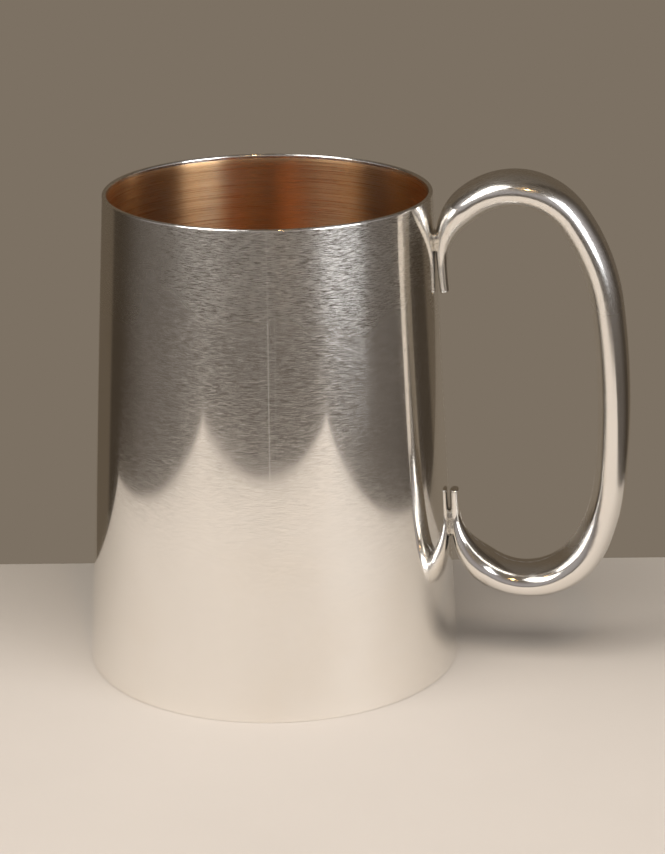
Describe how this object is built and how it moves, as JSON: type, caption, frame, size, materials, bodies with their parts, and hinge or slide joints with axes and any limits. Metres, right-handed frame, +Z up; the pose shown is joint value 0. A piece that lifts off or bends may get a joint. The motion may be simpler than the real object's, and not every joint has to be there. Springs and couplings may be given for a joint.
{
  "type": "tankard",
  "caption": "Plain tapered tankard in polished silver-coloured metal, gilt inside, with a set-in flat base and a hollow C-shaped handle soldered to the wall.",
  "frame": {"origin": "on the cup's axis in the plane of the table, at the middle of the foot ring", "axes": "+Z up along the cup's axis; +X from the axis towards the handle; Y = 0 is the handle's mid-plane"},
  "size_m": [0.1306, 0.0902, 0.1208],
  "materials": {
    "silver": "mirror-polished silver, with faint hand-made waviness and fine scratches",
    "solder": "dull, slightly grainy silver solder",
    "gilt": "soft satin gilding, finely brushed around the cup"
  },
  "bodies": {
    "root": {"body_wall": "silver", "side_seam": "solder", "base_disc": "silver", "base_solder": "solder", "gilt_lining": "gilt", "handle_left_half": "silver", "handle_right_half": "silver", "handle_upper_cap": "silver", "handle_lower_cap": "silver", "upper_joint_solder": "solder", "lower_joint_solder": "solder"}
  },
  "joints": []
}
